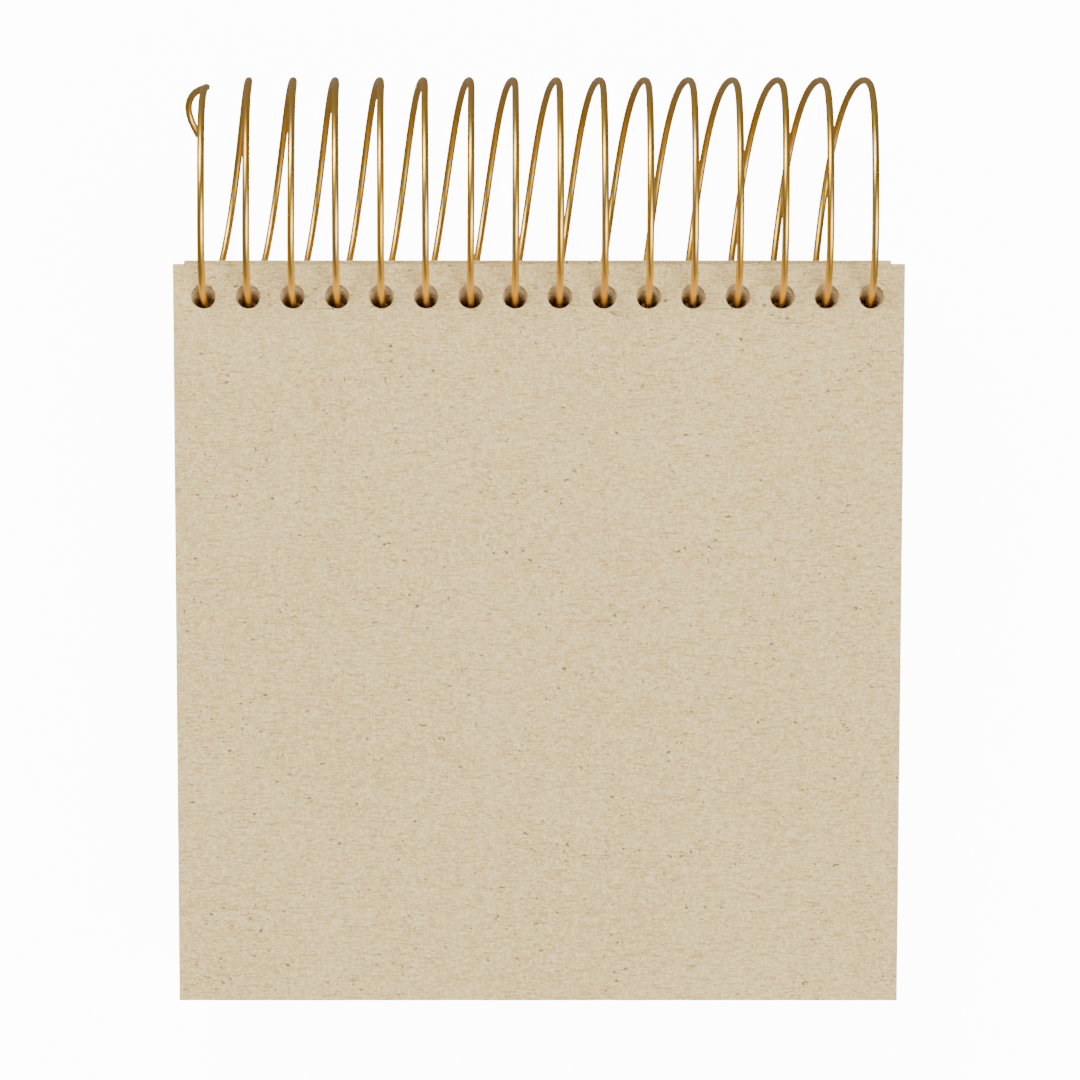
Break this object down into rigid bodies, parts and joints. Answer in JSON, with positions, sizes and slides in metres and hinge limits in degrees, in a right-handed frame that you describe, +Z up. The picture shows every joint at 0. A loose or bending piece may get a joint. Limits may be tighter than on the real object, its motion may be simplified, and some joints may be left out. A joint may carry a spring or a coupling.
{
  "type": "spiral sketchbook",
  "caption": "Square spiral-bound sketchbook with kraft board covers and thick kraft leaves on one large brass-coloured wire spiral, closed.",
  "frame": {"origin": "under the middle of the closed book's bounding box, on the surface it lies on", "axes": "+Y along the covers towards the spiral, +X to the right of the front cover, +Z up out of the front cover"},
  "size_m": [0.1392, 0.179, 0.0457],
  "materials": {
    "brass_wire": "polished brass-coloured wire",
    "kraft_board": "matt recycled kraft board with fine fibres and specks",
    "kraft_paper": "matt kraft paper"
  },
  "bodies": {
    "binding": {"spiral_coil": "brass_wire", "back_cover": "kraft_board"},
    "front_cover": {"front_cover": "kraft_board"},
    "leaf_01": {"leaf_01": "kraft_paper"},
    "leaf_02": {"leaf_02": "kraft_paper"},
    "leaf_03": {"leaf_03": "kraft_paper"},
    "leaf_04": {"leaf_04": "kraft_paper"},
    "leaf_05": {"leaf_05": "kraft_paper"},
    "leaf_06": {"leaf_06": "kraft_paper"},
    "leaf_07": {"leaf_07": "kraft_paper"},
    "leaf_08": {"leaf_08": "kraft_paper"},
    "leaf_09": {"leaf_09": "kraft_paper"},
    "leaf_10": {"leaf_10": "kraft_paper"},
    "leaf_11": {"leaf_11": "kraft_paper"},
    "leaf_12": {"leaf_12": "kraft_paper"},
    "leaf_13": {"leaf_13": "kraft_paper"},
    "leaf_14": {"leaf_14": "kraft_paper"},
    "leaf_15": {"leaf_15": "kraft_paper"},
    "leaf_16": {"leaf_16": "kraft_paper"},
    "leaf_17": {"leaf_17": "kraft_paper"},
    "leaf_18": {"leaf_18": "kraft_paper"}
  },
  "joints": [
    {"name": "leaf_01_turn", "type": "hinge", "parent": "binding", "child": "leaf_01", "pos_m": [0, 0.06662, 0.0229], "axis": [-1, 0, 0], "range_deg": [0, 54]},
    {"name": "front_cover_turn", "type": "hinge", "parent": "leaf_01", "child": "front_cover", "pos_m": [0, 0.06662, 0.0229], "axis": [-1, 0, 0], "range_deg": [0, 90]},
    {"name": "leaf_02_turn", "type": "hinge", "parent": "binding", "child": "leaf_02", "pos_m": [0, 0.06662, 0.0229], "axis": [-1, 0, 0], "range_deg": [0, 51]},
    {"name": "leaf_03_turn", "type": "hinge", "parent": "binding", "child": "leaf_03", "pos_m": [0, 0.06662, 0.0229], "axis": [-1, 0, 0], "range_deg": [0, 48]},
    {"name": "leaf_04_turn", "type": "hinge", "parent": "binding", "child": "leaf_04", "pos_m": [0, 0.06662, 0.0229], "axis": [-1, 0, 0], "range_deg": [0, 45]},
    {"name": "leaf_05_turn", "type": "hinge", "parent": "binding", "child": "leaf_05", "pos_m": [0, 0.06662, 0.0229], "axis": [-1, 0, 0], "range_deg": [0, 42]},
    {"name": "leaf_06_turn", "type": "hinge", "parent": "binding", "child": "leaf_06", "pos_m": [0, 0.06662, 0.0229], "axis": [-1, 0, 0], "range_deg": [0, 39]},
    {"name": "leaf_07_turn", "type": "hinge", "parent": "binding", "child": "leaf_07", "pos_m": [0, 0.06662, 0.0229], "axis": [-1, 0, 0], "range_deg": [0, 36]},
    {"name": "leaf_08_turn", "type": "hinge", "parent": "binding", "child": "leaf_08", "pos_m": [0, 0.06662, 0.0229], "axis": [-1, 0, 0], "range_deg": [0, 33]},
    {"name": "leaf_09_turn", "type": "hinge", "parent": "binding", "child": "leaf_09", "pos_m": [0, 0.06662, 0.0229], "axis": [-1, 0, 0], "range_deg": [0, 30]},
    {"name": "leaf_10_turn", "type": "hinge", "parent": "binding", "child": "leaf_10", "pos_m": [0, 0.06662, 0.0229], "axis": [-1, 0, 0], "range_deg": [0, 27]},
    {"name": "leaf_11_turn", "type": "hinge", "parent": "binding", "child": "leaf_11", "pos_m": [0, 0.06662, 0.0229], "axis": [-1, 0, 0], "range_deg": [0, 24]},
    {"name": "leaf_12_turn", "type": "hinge", "parent": "binding", "child": "leaf_12", "pos_m": [0, 0.06662, 0.0229], "axis": [-1, 0, 0], "range_deg": [0, 21]},
    {"name": "leaf_13_turn", "type": "hinge", "parent": "binding", "child": "leaf_13", "pos_m": [0, 0.06662, 0.0229], "axis": [-1, 0, 0], "range_deg": [0, 18]},
    {"name": "leaf_14_turn", "type": "hinge", "parent": "binding", "child": "leaf_14", "pos_m": [0, 0.06662, 0.0229], "axis": [-1, 0, 0], "range_deg": [0, 15]},
    {"name": "leaf_15_turn", "type": "hinge", "parent": "binding", "child": "leaf_15", "pos_m": [0, 0.06662, 0.0229], "axis": [-1, 0, 0], "range_deg": [0, 12]},
    {"name": "leaf_16_turn", "type": "hinge", "parent": "binding", "child": "leaf_16", "pos_m": [0, 0.06662, 0.0229], "axis": [-1, 0, 0], "range_deg": [0, 9]},
    {"name": "leaf_17_turn", "type": "hinge", "parent": "binding", "child": "leaf_17", "pos_m": [0, 0.06662, 0.0229], "axis": [-1, 0, 0], "range_deg": [0, 6]},
    {"name": "leaf_18_turn", "type": "hinge", "parent": "binding", "child": "leaf_18", "pos_m": [0, 0.06662, 0.0229], "axis": [-1, 0, 0], "range_deg": [0, 3]}
  ],
  "couplings": [
    {"joint": "leaf_02_turn", "follows": "leaf_01_turn", "ratio": 0.94444},
    {"joint": "leaf_03_turn", "follows": "leaf_01_turn", "ratio": 0.88889},
    {"joint": "leaf_04_turn", "follows": "leaf_01_turn", "ratio": 0.83333},
    {"joint": "leaf_05_turn", "follows": "leaf_01_turn", "ratio": 0.77778},
    {"joint": "leaf_06_turn", "follows": "leaf_01_turn", "ratio": 0.72222},
    {"joint": "leaf_07_turn", "follows": "leaf_01_turn", "ratio": 0.66667},
    {"joint": "leaf_08_turn", "follows": "leaf_01_turn", "ratio": 0.61111},
    {"joint": "leaf_09_turn", "follows": "leaf_01_turn", "ratio": 0.55556},
    {"joint": "leaf_10_turn", "follows": "leaf_01_turn", "ratio": 0.5},
    {"joint": "leaf_11_turn", "follows": "leaf_01_turn", "ratio": 0.44444},
    {"joint": "leaf_12_turn", "follows": "leaf_01_turn", "ratio": 0.38889},
    {"joint": "leaf_13_turn", "follows": "leaf_01_turn", "ratio": 0.33333},
    {"joint": "leaf_14_turn", "follows": "leaf_01_turn", "ratio": 0.27778},
    {"joint": "leaf_15_turn", "follows": "leaf_01_turn", "ratio": 0.22222},
    {"joint": "leaf_16_turn", "follows": "leaf_01_turn", "ratio": 0.16667},
    {"joint": "leaf_17_turn", "follows": "leaf_01_turn", "ratio": 0.11111},
    {"joint": "leaf_18_turn", "follows": "leaf_01_turn", "ratio": 0.055556}
  ]
}
